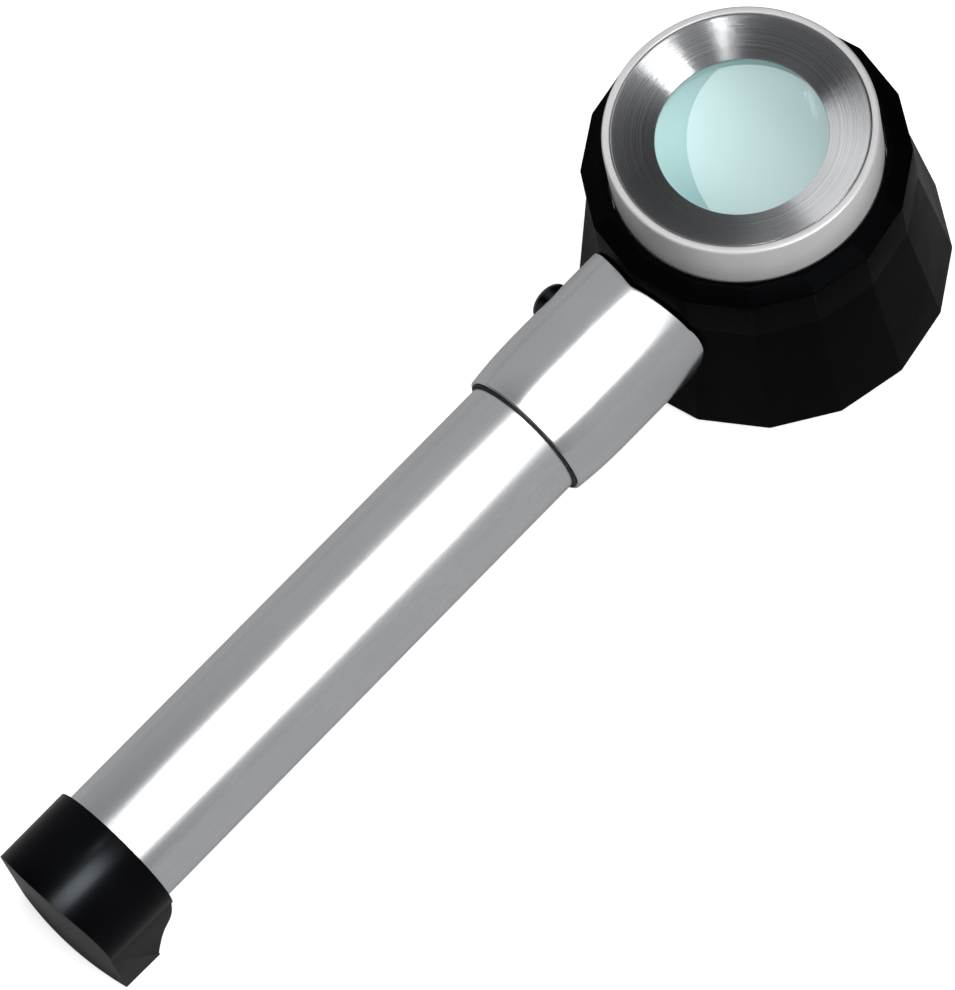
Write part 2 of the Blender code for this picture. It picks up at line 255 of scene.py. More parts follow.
def handle_frame():
    """Axes of the handle: Z along it towards its foot, Y up, with X across."""
    along = Vector((0.0, -math.cos(SLOPE), -math.sin(SLOPE)))
    upward = Vector((0.0, -math.sin(SLOPE), math.cos(SLOPE)))
    place = Matrix.Identity(4)
    for row in range(3):
        place[row][0] = (1.0, 0.0, 0.0)[row]
        place[row][1] = upward[row]
        place[row][2] = along[row]
    place[2][3] = AXIS_Z * MM
    return place


def button_frame():
    """Axes of the switch button: Z out of the collar, towards the side at negative X."""
    local = Matrix(((0.0, 0.0, -1.0, 0.0),
                    (0.0, 1.0, 0.0, 0.0),
                    (1.0, 0.0, 0.0, BUTTON_AT * MM),
                    (0.0, 0.0, 0.0, 1.0)))
    return handle_frame() @ local


# ---- material helpers ----------------------------------------------------------------------

class Surface:
    """A node material, with short calls for the parts that repeat."""

    def __init__(self, name):
        self.material = bpy.data.materials.new(name)
        self.material.use_nodes = True
        self.tree = self.material.node_tree
        self.shader = self.tree.nodes["Principled BSDF"]
        self.coords = self.add("ShaderNodeTexCoord").outputs["Object"]

    def add(self, kind, **settings):
        node = self.tree.nodes.new(kind)
        for key, value in settings.items():
            setattr(node, key, value)
        return node

    def link(self, source, target):
        self.tree.links.new(source, target)

    def set(self, **values):
        for key, value in values.items():
            self.shader.inputs[key.replace("_", " ")].default_value = value

    def stretched(self, scale):
        """Object coordinates scaled by a different amount along each axis."""
        node = self.add("ShaderNodeMapping")
        node.inputs["Scale"].default_value = scale
        self.link(self.coords, node.inputs["Vector"])
        return node.outputs["Vector"]

    def noise(self, scale, detail=3.0, roughness=0.5, vector=None):
        node = self.add("ShaderNodeTexNoise")
        node.inputs["Scale"].default_value = scale
        node.inputs["Detail"].default_value = detail
        node.inputs["Roughness"].default_value = roughness
        self.link(vector if vector is not None else self.coords, node.inputs["Vector"])
        return node.outputs["Fac"]

    def remap(self, value, low, high, start=0.3, end=0.7):
        node = self.add("ShaderNodeMapRange")
        node.inputs["From Min"].default_value = start
        node.inputs["From Max"].default_value = end
        node.inputs["To Min"].default_value = low
        node.inputs["To Max"].default_value = high
        self.link(value, node.inputs["Value"])
        return node.outputs["Result"]

    def math(self, operation, first, second):
        node = self.add("ShaderNodeMath", operation=operation)
        for socket, value in zip(node.inputs, (first, second)):
            if isinstance(value, (int, float)):
                socket.default_value = value
            else:
                self.link(value, socket)
        return node.outputs[0]

    def blend(self, factor, low, high):
        """A colour between two others, by a factor."""
        node = self.add("ShaderNodeMix", data_type="RGBA")
        for socket, value in ((node.inputs[6], low), (node.inputs[7], high)):
            if isinstance(value, tuple):
                socket.default_value = (*value, 1.0)
            else:
                self.link(value, socket)
        self.link(factor, node.inputs["Factor"])
        return node.outputs[2]

    def colour(self, value):
        self.link(value, self.shader.inputs["Base Color"])

    def roughness(self, value):
        self.link(value, self.shader.inputs["Roughness"])

    def bump(self, height, strength, distance):
        node = self.add("ShaderNodeBump")
        node.inputs["Strength"].default_value = strength
        node.inputs["Distance"].default_value = distance
        self.link(height, node.inputs["Height"])
        self.link(node.outputs["Normal"], self.shader.inputs["Normal"])

    def radius(self):
        """Distance from the optical axis, in metres."""
        flat = self.add("ShaderNodeVectorMath", operation="MULTIPLY")
        flat.inputs[1].default_value = (1.0, 1.0, 0.0)
        self.link(self.coords, flat.inputs[0])
        length = self.add("ShaderNodeVectorMath", operation="LENGTH")
        self.link(flat.outputs["Vector"], length.inputs[0])
        return length.outputs["Value"]

    def along(self, value, scale):
        """A point on a line, for noise that varies with one number only."""
        node = self.add("ShaderNodeCombineXYZ")
        self.link(self.math("MULTIPLY", value, scale), node.inputs["X"])
        return node.outputs["Vector"]


def satin_metal(name, dark, light, rough_low, rough_high, metallic=1.0):
    """Blasted and anodised aluminium: soft cloudy tone, fine grain, faint marks."""
    s = Surface(name)
    s.set(Metallic=metallic)
    cloud = s.noise(70.0, 4.0, 0.6)
    fine = s.noise(5000.0, 2.0, 0.6)
    mixed = s.math("ADD", s.math("MULTIPLY", cloud, 0.6), s.math("MULTIPLY", fine, 0.4))
    s.colour(s.blend(s.remap(mixed, 0.0, 1.0, 0.35, 0.65), dark, light))
    s.roughness(s.remap(mixed, rough_low, rough_high))
    s.bump(fine, 0.06, 0.00002)
    return s.material


def drawn_tube():
    """Satin tube: the same finish, with faint drawing lines along its length."""
    s = Surface("tube_aluminium")
    s.set(Metallic=1.0)
    cloud = s.noise(55.0, 4.0, 0.6)
    lines = s.noise(1.0, 3.0, 0.6, s.stretched((3500.0, 60.0, 3500.0)))
    fine = s.noise(5200.0, 2.0, 0.6)
    tone = s.math("ADD", s.math("MULTIPLY", cloud, 0.5), s.math("MULTIPLY", lines, 0.5))
    s.colour(s.blend(s.remap(tone, 0.0, 1.0), (0.70, 0.71, 0.725), (0.79, 0.795, 0.80)))
    s.roughness(s.remap(tone, 0.22, 0.29))
    grain = s.math("ADD", s.math("MULTIPLY", lines, 0.5), s.math("MULTIPLY", fine, 0.5))
    s.bump(grain, 0.035, 0.00002)
    return s.material


def turned_metal():
    """Lathe-faced aluminium: concentric tool marks and the fan of light that they throw."""
    s = Surface("turned_aluminium")
    s.set(Metallic=1.0, Anisotropic=1.0, Anisotropic_Rotation=0.25)
    radius = s.radius()
    coarse = s.noise(1.0, 2.0, 0.7, s.along(radius, 2600.0))
    fine = s.noise(1.0, 3.0, 0.8, s.along(radius, 12000.0))
    rings = s.math("ADD", s.math("MULTIPLY", coarse, 0.5), s.math("MULTIPLY", fine, 0.5))
    s.colour(s.blend(s.remap(rings, 0.0, 1.0), (0.30, 0.31, 0.32), (0.74, 0.74, 0.75)))
    s.roughness(s.remap(rings, 0.22, 0.28))
    s.bump(rings, 0.6, 0.00003)
    tangent = s.add("ShaderNodeTangent", direction_type="RADIAL", axis="Z")
    s.link(tangent.outputs["Tangent"], s.shader.inputs["Tangent"])
    return s.material


def moulded_black(name, gloss, rough_low=0.34, rough_high=0.46, grain=2600.0, bump=0.12):
    """Near-black moulding: fine spark-eroded grain, faint cool cast, small rubbed patches."""
    tone = 0.0012
    s = Surface(name)
    s.set(Specular_IOR_Level=gloss)
    s.shader.inputs["Specular Tint"].default_value = (0.82, 0.91, 1.0, 1.0)
    cloud = s.noise(90.0, 4.0, 0.6)
    fine = s.noise(grain, 3.0, 0.6)
    s.colour(s.blend(s.remap(cloud, 0.0, 1.0), (tone * 0.75, tone * 0.75, tone * 0.95),
                     (tone * 1.3, tone * 1.3, tone * 1.7)))
    s.roughness(s.remap(cloud, rough_low, rough_high))
    s.bump(fine, bump, 0.00003)
    return s.material


def dull_black():
    s = Surface("dull_black")
    s.set(Metallic=0.2, Specular_IOR_Level=0.3)
    fine = s.noise(3000.0, 2.0, 0.6)
    s.colour(s.blend(s.remap(fine, 0.0, 1.0), (0.010, 0.010, 0.011), (0.026, 0.026, 0.028)))
    s.roughness(s.remap(s.noise(200.0), 0.5, 0.68))
    s.bump(fine, 0.1, 0.00002)
    return s.material


def rubber():
    s = Surface("seal_rubber")
    fine = s.noise(2500.0, 2.0, 0.6)
    s.colour(s.blend(s.remap(fine, 0.0, 1.0), (0.010, 0.010, 0.011), (0.022, 0.022, 0.024)))
    s.roughness(s.remap(s.noise(300.0), 0.55, 0.72))
    s.bump(fine, 0.15, 0.00003)
    return s.material


def plated(name, dark, light):
    s = Surface(name)
    s.set(Metallic=1.0)
    cloud = s.noise(400.0, 3.0, 0.6)
    s.colour(s.blend(s.remap(cloud, 0.0, 1.0), dark, light))
    s.roughness(s.remap(cloud, 0.22, 0.38))
    s.bump(s.noise(6000.0, 2.0), 0.05, 0.00002)
    return s.material


def plain_plastic(name, dark, light):
    s = Surface(name)
    cloud = s.noise(250.0, 3.0, 0.6)
    s.colour(s.blend(s.remap(cloud, 0.0, 1.0), dark, light))
    s.roughness(s.remap(cloud, 0.4, 0.52))
    s.bump(s.noise(3500.0, 2.0), 0.08, 0.00002)
    return s.material


def board_material():
    """Green circuit board with the weave of its glass cloth showing through."""
    s = Surface("board")
    weave = s.noise(1.0, 2.0, 0.5, s.stretched((1800.0, 1800.0, 300.0)))
    s.colour(s.blend(s.remap(weave, 0.0, 1.0), (0.012, 0.085, 0.035), (0.03, 0.16, 0.07)))
    s.roughness(s.remap(weave, 0.28, 0.42))
    s.set(Coat_Weight=0.3)
    return s.material


def battery_sleeve():
    """Plain dark green shrink sleeve of a cell."""
    s = Surface("battery_wrap")
    cloud = s.noise(150.0, 3.0, 0.6)
    s.colour(s.blend(s.remap(cloud, 0.0, 1.0), (0.02, 0.07, 0.05), (0.04, 0.13, 0.09)))
    s.roughness(s.remap(cloud, 0.22, 0.34))
    s.bump(s.noise(1800.0, 2.0), 0.05, 0.00002)
    s.set(Metallic=0.3, Coat_Weight=0.4)
    return s.material


def lens_glass_with_painted_glow():
    """Coated glass of a pale milky cyan, with a faint painted glow in the glass itself that
    stands in for light from inside the head.
    """
    s = Surface("lens_glass")
    cloud = s.noise(60.0, 2.0, 0.4)
    s.colour(s.blend(s.remap(cloud, 0.0, 1.0), (0.50, 0.79, 0.775), (0.54, 0.83, 0.81)))
    s.roughness(s.remap(cloud, 0.015, 0.03))
    s.set(IOR=1.72, Coat_Weight=1.0, Coat_Roughness=0.01, Coat_IOR=1.9)
    s.set(Transmission_Weight=0.25)
    # painted glow: the glass gives off a faint, even cyan light of its own, though it is no lamp
    s.set(Emission_Strength=0.13)
    s.shader.inputs["Emission Color"].default_value = (0.62, 0.90, 0.92, 1.0)
    return s.material


def inner_glass():
    s = Surface("inner_glass")
    cloud = s.noise(60.0, 2.0, 0.4)
    s.colour(s.blend(s.remap(cloud, 0.0, 1.0), (0.88, 0.95, 0.95), (0.93, 0.98, 0.98)))
    s.roughness(s.remap(cloud, 0.01, 0.03))
    s.set(IOR=1.5, Transmission_Weight=0.95)
    return s.material


def reticle_material():
    """Glass plate printed white, with a clear square window left in the middle."""
    s = Surface("reticle_glass")
    split = s.add("ShaderNodeSeparateXYZ")
    s.link(s.coords, split.inputs["Vector"])
    wide = s.math("ABSOLUTE", split.outputs["X"], 0.0)
    deep = s.math("ABSOLUTE", split.outputs["Y"], 0.0)
    outside = s.math("GREATER_THAN", s.math("MAXIMUM", wide, deep), WINDOW_HALF * MM)
    fine = s.noise(900.0, 3.0, 0.6)
    paint = s.blend(s.remap(fine, 0.0, 1.0), (0.82, 0.83, 0.83), (0.90, 0.90, 0.90))
    s.colour(s.blend(outside, (0.93, 0.95, 0.96), paint))
    s.link(s.remap(outside, 0.9, 0.04, 0.0, 1.0), s.shader.inputs["Transmission Weight"])
    matt = s.math("MULTIPLY", outside, s.remap(fine, 0.8, 1.0))
    s.roughness(s.remap(matt, 0.03, 0.42, 0.0, 1.0))
    s.set(IOR=1.5)
    return s.material


def ink():
    s = Surface("scale_ink")
    fine = s.noise(4000.0, 2.0, 0.6)
    s.colour(s.blend(s.remap(fine, 0.0, 1.0), (0.012, 0.012, 0.014), (0.03, 0.03, 0.034)))
    s.roughness(s.remap(fine, 0.45, 0.6))
    return s.material


def lamp_resin():
    s = Surface("led_resin")
    cloud = s.noise(500.0, 2.0, 0.5)
    s.colour(s.blend(s.remap(cloud, 0.0, 1.0), (0.86, 0.87, 0.72), (0.93, 0.93, 0.82)))
    s.roughness(s.remap(cloud, 0.05, 0.12))
    s.set(Transmission_Weight=0.6, IOR=1.5)
    return s.material


# ---- pieces --------------------------------------------------------------------------------

def finish_piece(piece, body, nodes, material):
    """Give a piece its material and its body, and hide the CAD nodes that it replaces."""
    piece.data.materials.clear()
    piece.data.materials.append(material)
    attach(piece, body)
    if nodes:
        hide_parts(*nodes)


def facet_solid(levels):
    """Points and faces of the housing: a stack of regular polygons joined by flat facets."""
    points = []
    for radius, height in levels:
        for corner in range(FACETS):
            angle = 2.0 * math.pi * corner / FACETS
            points.append((radius * math.cos(angle), radius * math.sin(angle), height))
    faces = [tuple(range(FACETS))]
    for level in range(len(levels) - 1):
        for corner in range(FACETS):
            after = (corner + 1) % FACETS
            low = level * FACETS
            faces.append((low + corner, low + FACETS + corner, low + FACETS + after, low + after))
    top = (len(levels) - 1) * FACETS
    faces.append(tuple(top + corner for corner in reversed(range(FACETS))))
    return points, faces


def housing_radius(height):
    """Corner radius of the housing at a height, in millimetres."""
    levels = HOUSING_LEVELS
    for (low_r, low_z), (high_r, high_z) in zip(levels, levels[1:]):
        if height <= high_z:
            share = max(0.0, (height - low_z) / (high_z - low_z))
            return low_r + (high_r - low_r) * share
    return levels[-1][0]


def outside_housing(point, gap):
    """Signed distance in millimetres, roughly, outside the faceted head."""
    half = math.pi / FACETS
    reach = -100.0
    for facet in range(FACETS):
        angle = half + 2.0 * math.pi * facet / FACETS
        reach = max(reach, point.x * math.cos(angle) + point.y * math.sin(angle))
    return reach - housing_radius(point.z) * math.cos(half) - gap


def make_housing(material):
    points, faces = facet_solid(HOUSING_LEVELS)
    housing = make_piece("head_shell", points, faces)
    bevel(housing, 4.0)
    hollow = [(0.0, -1.0), (RECESS_R, -1.0), (RECESS_R, RECESS_TOP), (CHAMBER_R, RECESS_TOP),
              (CHAMBER_R, LEDGE_LOW), (LEDGE_R, LEDGE_LOW), (LEDGE_R, LEDGE_TOP),
              (BORE_R, LEDGE_TOP), (BORE_R, 33.0), (0.0, 33.0)]
    combine(housing, lathe("cut_bore", hollow))
    neck = [(0.0, 18.5), (NECK_R, 18.5), (NECK_R, 30.0), (0.0, 30.0)]
    combine(housing, lathe("cut_neck", neck, handle_frame(), ROUND_SMALL))
    smooth(housing, 14.0)
    finish_piece(housing, "grip", ["head_housing"], material)
    return housing


def make_barrel(material):
    profile = [(BARREL_WALL_R, BARREL_LOW), (BARREL_R, BARREL_LOW), (BARREL_R, CLIP_LOW),
               (CLIP_R, CLIP_LOW), (CLIP_R, CLIP_TOP), (BARREL_R, CLIP_TOP),
               (BARREL_R, BARREL_TOP), (BARREL_WALL_R, BARREL_TOP)]
    radii = [0.0, 0.1, 0.0, 0.0, 0.0, 0.0, 0.3, 0.12]
    barrel = lathe("focus_barrel_ring", fillet(profile, radii))
    finish_piece(barrel, "focus_ring", ["focus_barrel"], material)
    return barrel


def make_bezel(material):
    profile = [(DISH_R, DISH_UNDER), (DISH_R, DISH_TOP), (DISH_RIM_R, DISH_TOP),
               (EYE_R, DISH_LOW), (EYE_R, DISH_UNDER)]
    radii = [0.15, 0.06, 0.05, 0.12, 0.1]
    bezel = lathe("eyepiece_dish", fillet(profile, radii, 3))
    finish_piece(bezel, "focus_ring", ["eyepiece_bezel"], material)
    return bezel


def lens_side(centre_height, radius, upward):
    """One face of a lens from its middle to its edge, bulging up or down."""
    steps = 16
    points = []
    for step in range(steps + 1):
        across = LENS_R * step / steps
        sag = radius - math.sqrt(radius * radius - across * across)
        points.append((across, centre_height - sag if upward else centre_height + sag))
    return points


def make_lens(name, node, top, bottom, material):
    piece = lathe(name, bottom + list(reversed(top)), steps=ROUND_SMALL)
    finish_piece(piece, "lens_carrier", [node], material)
    return piece


def make_lenses(front, inner):
    """The two lenses; returns the one that shows in the eyepiece."""
    eye_lens = make_lens("eye_lens_glass", "eye_lens", lens_side(36.0, 40.0, True),
                         lens_side(30.6, 77.0, False), front)
    make_lens("field_lens_glass", "field_lens", lens_side(30.0, 110.0, True),
              lens_side(26.7, 110.0, False), inner)
    return eye_lens


def make_collar(material):
    """The collar, with its head end shaped to sit on the faceted housing."""
    place = handle_frame()

    def start(radius, angle):
        """Where a line along the collar comes clear of the housing."""
        low = 8.0
        high = 40.0
        for _ in range(40):
            middle = 0.5 * (low + high)
            spot = place @ Vector((radius * math.cos(angle) * MM, radius * math.sin(angle) * MM,
                                   middle * MM))
            if outside_housing(spot / MM, COLLAR_GAP) > 0.0:
                high = middle
            else:
                low = middle
        return high

    rounding_steps = 8
    rows = []
    for radius in (NECK_R, 7.0, 8.5):
        rows.append(lambda angle, r=radius: (r, start(r, angle)))

    def corner(angle):
        """Radius of the rounded edge: crisp above, softer on the lower half."""
        below = max(0.0, -math.sin(angle) + 0.15)
        return 0.35 + 1.15 * min(1.0, below * 2.5)

    def rounded(angle, step):
        turn = 0.5 * math.pi * step / rounding_steps
        size = corner(angle)
        radius = COLLAR_R - size + size * math.sin(turn)
        along = start(COLLAR_R, angle) + size - size * math.cos(turn)
        return radius, max(along, start(radius, angle))

    for step in range(rounding_steps + 1):
        rows.append(lambda angle, s=step: rounded(angle, s))
    outer = [(COLLAR_R, 30.0), (COLLAR_R, COLLAR_STRAIGHT)]
    for step in range(1, 17):
        share = step / 16.0
        radius = COLLAR_R - (COLLAR_R - COLLAR_MOUTH_R) * share ** 2.2
        outer.append((radius, COLLAR_STRAIGHT + 8.9 * share))
    outer += [(9.89, 44.4), (9.86, 44.46), (9.8, COLLAR_END), (9.32, COLLAR_END),
              (COLLAR_BORE_R, 44.4), (COLLAR_BORE_R, SHOULDER), (TUBE_BORE_R, SHOULDER),
              (TUBE_BORE_R, POCKET_START), (NECK_R, POCKET_START)]
    for radius, along in outer:
        rows.append(lambda angle, r=radius, a=along: (r, a))
    points = []
    for row in rows:
        for step in range(ROUND):
            angle = 2.0 * math.pi * step / ROUND
            radius, along = row(angle)
            points.append((radius * math.cos(angle), radius * math.sin(angle), along))
    faces = []
    for index in range(len(rows)):
        following = (index + 1) % len(rows)
        for step in range(ROUND):
            after = (step + 1) % ROUND
            faces.append((index * ROUND + step, index * ROUND + after,
                          following * ROUND + after, following * ROUND + step))
    collar = make_piece("grip_collar", points, faces, place)
    hole = [(0.0, 6.0), (BUTTON_HOLE_R, 6.0), (BUTTON_HOLE_R, 14.0), (0.0, 14.0)]
    combine(collar, lathe("cut_button", hole, button_frame(), ROUND_SMALL))
    smooth(collar, CREASE)
    finish_piece(collar, "grip", ["collar"], material)


def make_handle(metal, seal, black):
    place = handle_frame()
    profile = [(TUBE_BORE_R, TUBE_START), (TUBE_R, TUBE_START), (TUBE_R, TUBE_END),
               (TUBE_BORE_R, TUBE_END)]
    tube = lathe("grip_tube", fillet(profile, [0.1, 0.25, 0.25, 0.1]), place)
    finish_piece(tube, "grip", ["handle_tube"], metal)
    low = COLLAR_END + 0.06
    profile = [(9.08, low), (SEAM_R, low), (SEAM_R, low + 0.2), (9.08, low + 0.2)]
    ring = lathe("collar_seam_ring", fillet(profile, [0.02, 0.04, 0.06, 0.02]), place)
    finish_piece(ring, "grip", ["seam_ring"], seal)
    button = [(0.0, 6.2), (3.6, 6.2), (3.6, 6.9), (BUTTON_R, 6.9), (BUTTON_R, 10.9)]
    for step in range(1, 13):
        angle = 0.5 * math.pi * step / 12
        button.append((BUTTON_R * math.cos(angle), 10.9 + 1.5 * math.sin(angle)))
    button[-1] = (0.0, 12.4)
    piece = lathe("switch_dome", button, button_frame(), ROUND_SMALL)
    finish_piece(piece, "button", ["switch_button"], black)


def sole_height(distance):
    """How far below the handle's axis the table lies, at a distance along the handle."""
    return (AXIS_Z - distance * math.sin(SLOPE)) / math.cos(SLOPE)


def prism(outline, low, high, spot):
    """A side outline carried from low to high; spot places an outline point at a depth."""
    points = [spot(first, second, depth) for depth in (low, high) for first, second in outline]
    count = len(outline)
    faces = [tuple(range(count)), tuple(reversed(range(count, 2 * count)))]
    for index in range(count):
        after = (index + 1) % count
        faces.append((index, count + index, count + after, after))
    return points, faces


def foot_solid():
    """The squared foot under the cap."""
    toe = CAP_END - FOOT_LENGTH
    beyond = CAP_END + 2.0
    outline = [(CAP_START + 0.35, 0.6)]
    for behind, depth in FOOT_FRONT:
        outline.append((CAP_START + behind, -depth))
    outline += [(toe, -sole_height(toe)), (beyond, -sole_height(beyond)), (beyond, 0.6)]
    return prism(outline, -FOOT_HALF, FOOT_HALF,
                 lambda along, height, side: (side, height, along))


def bowed_end():
    """A cutter that leaves the end of the cap slightly bowed from side to side."""
    outline = []
    for step in range(-12, 13):
        across = float(step)
        outline.append((across, CAP_END + CAP_BOW - (CAP_BOW + 0.2) * (across / 10.0) ** 2))
    outline += [(12.0, CAP_END + 20.0), (-12.0, CAP_END + 20.0)]
    return prism(outline, -30.0, 30.0, lambda across, along, height: (across, height, along))


def make_cap(material):
    place = handle_frame()
    profile = [(0.0, CAP_START), (CAP_R, CAP_START), (CAP_R, CAP_END + 3.0), (0.0, CAP_END + 3.0)]
    cap = lathe("grip_end_cap", profile, place)
    points, faces = foot_solid()
    combine(cap, make_piece("cut_foot", points, faces, place), "UNION")
    points, faces = bowed_end()
    combine(cap, make_piece("cut_end", points, faces, place))
    hollow = [(0.0, CAP_START - 1.0), (CAP_BORE_R, CAP_START - 1.0), (CAP_BORE_R, SEAL_LOW),
              (SEAL_GROOVE_R, SEAL_LOW), (SEAL_GROOVE_R, SEAL_TOP), (CAP_BORE_R, SEAL_TOP),
              (CAP_BORE_R, CAP_BORE_END), (SPRING_ROOM_R, CAP_BORE_END),
              (SPRING_ROOM_R, SPRING_ROOM_END), (0.0, SPRING_ROOM_END)]
    combine(cap, lathe("cut_cap", hollow, place))
    bevel(cap, CREASE)
    smooth(cap, 30.0)
    finish_piece(cap, "cap", ["end_cap"], material)
    return cap


def tick(across, start, length, side):
    """One printed graduation, on one of the four sides of the window."""
    half = 0.045
    turn = math.radians(90.0 * side)
    points, faces = block((start, across - half, 0.50), (start + length, across + half, 0.66))
    turned = []
    for x, y, z in points:
        turned.append((x * math.cos(turn) - y * math.sin(turn),
                       x * math.sin(turn) + y * math.cos(turn), z))
    return turned, faces


def make_scale(material):
    """Printed graduations round the window of the reticle, with plain scale lettering."""
    points = []
    faces = []
    for side, pitch, long_every, middle_every in ((0, 0.79375, 4, 2), (1, 0.5, 10, 5),
                                                  (2, 0.5, 10, 2), (3, 0.79375, 4, 2)):
        count = int(round(2.0 * WINDOW_HALF / pitch - 0.2))
        for index in range(count + 1):
            length = 0.55
            if index % middle_every == 0:
                length = 0.85
            if index % long_every == 0:
                length = 1.25
            more_points, more_faces = tick(index * pitch - WINDOW_HALF, WINDOW_HALF + 0.25,
                                           length, side)
            start = len(points)
            points += more_points
            faces += [tuple(start + corner for corner in face) for face in more_faces]
    marks = make_piece("reticle_scale", points, faces)
    finish_piece(marks, "grip", [], material)
    for name, text, spot, turn in (("reticle_inch_label", "1/16 inch", (0.0, -7.7), 0.0),
                                   ("reticle_mm_label", "0.5 mm", (-7.7, 0.0), 90.0)):
        curve = bpy.data.curves.new(name, "FONT")
        curve.body = text
        curve.size = 1.75 * MM
        curve.extrude = 0.06 * MM
        curve.align_x = "CENTER"
        curve.align_y = "CENTER"
        label = bpy.data.objects.new(name, curve)
        bpy.context.scene.collection.objects.link(label)
        label.location = (spot[0] * MM, spot[1] * MM, 0.58 * MM)
        label.rotation_euler = (0.0, 0.0, math.radians(turn))
        finish_piece(label, "grip", [], material)


def finish_nodes(finishes):
    """Give every CAD node that still shows a node material and smooth shading."""
    slots = {part["node"]: part["material_slot"] for part in frame["record"]["subparts"]}
    for name, item in frame["nodes"].items():
        material = finishes.get(slots.get(name))
        if material is None:
            continue
        item.data.materials.clear()
        item.data.materials.append(material)
        smooth(item, CREASE)


# ---- studio --------------------------------------------------------------------------------

# the camera's place round the origin, its tilt, and how far the origin sits off its middle
CAMERA_AZIMUTH = math.radians(59.45)
CAMERA_ELEVATION = math.radians(64.13)
CAMERA_ROLL = math.radians(16.44)
CAMERA_DISTANCE = 0.944
CAMERA_SHIFT_X = 0.03916
CAMERA_SHIFT_Y = 0.03178
FOCAL_RATIO = 7.0181818     # focal length over the height of the frame
SENSOR = 36.0
FLOOR_HALF = 3.0
FLOOR_GAP = 0.0002          # the sheet lies this far under the part
FLOOR_GLOW = 0.75
STRIPE_MIDDLE = 0.20        # where the bright band of the studio runs, as a Y direction


def camera_axes(azimuth, elevation, roll):
    """Right, up and back of a camera that looks at the origin from a direction."""
    back = Vector((math.sin(azimuth) * math.cos(elevation),
                   -math.cos(azimuth) * math.cos(elevation), math.sin(elevation)))
    level = Vector((math.cos(azimuth), math.sin(azimuth), 0.0))
    upright = back.cross(level)
    right = level * math.cos(roll) - upright * math.sin(roll)
    up = level * math.sin(roll) + upright * math.cos(roll)
    return right, up, back


def add_camera():
    right, up, back = camera_axes(CAMERA_AZIMUTH, CAMERA_ELEVATION, CAMERA_ROLL)
    data = bpy.data.cameras.new("camera")
    data.sensor_fit = "VERTICAL"
    data.sensor_height = SENSOR
    data.sensor_width = SENSOR
    data.lens = FOCAL_RATIO * SENSOR
    data.clip_start = 0.05
    data.clip_end = 20.0
    camera = bpy.data.objects.new("camera", data)
    bpy.context.scene.collection.objects.link(camera)
    place = Matrix.Identity(4)
    for row in range(3):
        place[row][0] = right[row]
        place[row][1] = up[row]
        place[row][2] = back[row]
    spot = back * CAMERA_DISTANCE - right * CAMERA_SHIFT_X - up * CAMERA_SHIFT_Y
    for row in range(3):
        place[row][3] = spot[row]
    camera.matrix_world = place
    bpy.context.scene.camera = camera


def add_panel(name, direction, distance, size, strength, target=(0.0, -0.05, 0.02),
              shape="RECTANGLE"):
    """A soft panel light facing the target, its size given along X and along Y, in metres."""
    data = bpy.data.lights.new(name, "AREA")
    data.shape = shape
    data.size = size[0]
    if shape == "DISK":
        area = 0.25 * math.pi * size[0] ** 2
    else:
        data.size_y = size[1]
        area = size[0] * size[1]
    data.energy = strength * area * math.pi
    light = bpy.data.objects.new(name, data)
    bpy.context.scene.collection.objects.link(light)
    aim = Vector(direction).normalized()
    level = (Vector((1.0, 0.0, 0.0)) - aim * aim.x).normalized()
    turned = Matrix((level, aim.cross(level), aim)).transposed()
    light.matrix_world = Matrix.Translation(Vector(target) + aim * distance) @ turned.to_4x4()
    return light


def add_floor():
    """A sheet that is white to the camera and mid grey to everything that reflects it."""
    half = FLOOR_HALF
    low = -FLOOR_GAP
    mesh = bpy.data.meshes.new("floor")
    mesh.from_pydata([(-half, -half, low), (half, -half, low), (half, half, low),
                      (-half, half, low)], [], [(0, 1, 2, 3)])
    floor = bpy.data.objects.new("floor", mesh)
    bpy.context.scene.collection.objects.link(floor)
    material = bpy.data.materials.new("paper_floor")
    material.use_nodes = True
    tree = material.node_tree
    shader = tree.nodes["Principled BSDF"]
    shader.inputs["Base Color"].default_value = (0.60, 0.60, 0.61, 1.0)
    shader.inputs["Roughness"].default_value = 0.9
    bright = tree.nodes.new("ShaderNodeBsdfDiffuse")
    bright.inputs["Color"].default_value = (0.95, 0.95, 0.95, 1.0)
    glow = tree.nodes.new("ShaderNodeEmission")
    glow.inputs["Strength"].default_value = FLOOR_GLOW
    both = tree.nodes.new("ShaderNodeAddShader")
    path = tree.nodes.new("ShaderNodeLightPath")
    pick = tree.nodes.new("ShaderNodeMixShader")
    output = tree.nodes["Material Output"]
    tree.links.new(bright.outputs[0], both.inputs[0])
    tree.links.new(glow.outputs[0], both.inputs[1])
    tree.links.new(path.outputs["Is Camera Ray"], pick.inputs[0])
    tree.links.new(shader.outputs[0], pick.inputs[1])
    tree.links.new(both.outputs[0], pick.inputs[2])
    tree.links.new(pick.outputs[0], output.inputs["Surface"])
    mesh.materials.append(material)


def map_strength(tree, value, start, end, at_start, at_end):
    """A smooth change of brightness between two directions."""
    node = tree.nodes.new("ShaderNodeMapRange")
    node.interpolation_type = "SMOOTHSTEP"
    node.inputs["From Min"].default_value = start
    node.inputs["From Max"].default_value = end
    node.inputs["To Min"].default_value = at_start
    node.inputs["To Max"].default_value = at_end
    tree.links.new(value, node.inputs["Value"])
    return node.outputs["Result"]


